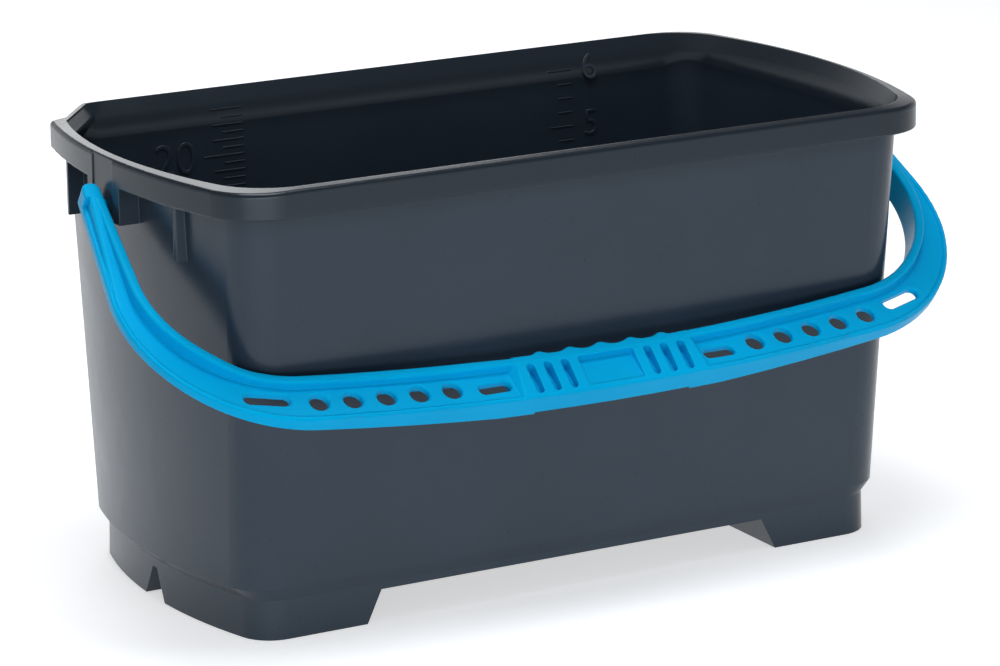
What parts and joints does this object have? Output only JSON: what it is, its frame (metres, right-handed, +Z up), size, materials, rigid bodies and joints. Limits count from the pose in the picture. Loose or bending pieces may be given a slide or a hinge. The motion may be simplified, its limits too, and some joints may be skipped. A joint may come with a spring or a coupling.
{
  "type": "window cleaning bucket",
  "caption": "Long rectangular window cleaning bucket with an out-turned rim, a corner pour spout, moulded feet and a swinging bail handle with a finger grip.",
  "frame": {"origin": "on the ground, under the middle of the box round the whole bucket with its handle hanging in front; the tub's own middle is 11.7 mm behind it", "axes": "+X along the long side, to the right as seen from the side where the handle hangs; +Y from that side towards the back; +Z up"},
  "size_m": [0.5426, 0.2921, 0.2682],
  "materials": {
    "tub_plastic": "dark graphite polypropylene, satin moulded surface",
    "handle_plastic": "cyan blue polypropylene, smooth moulded surface"
  },
  "bodies": {
    "tub": {"tub": "tub_plastic"},
    "handle": {"bail_handle": "handle_plastic"}
  },
  "joints": [
    {"name": "bail_hinge", "type": "hinge", "parent": "tub", "child": "handle", "pos_m": [0, 0.0117, 0.2385], "axis": [-1, 0, 0], "range_deg": [0, 249]}
  ]
}
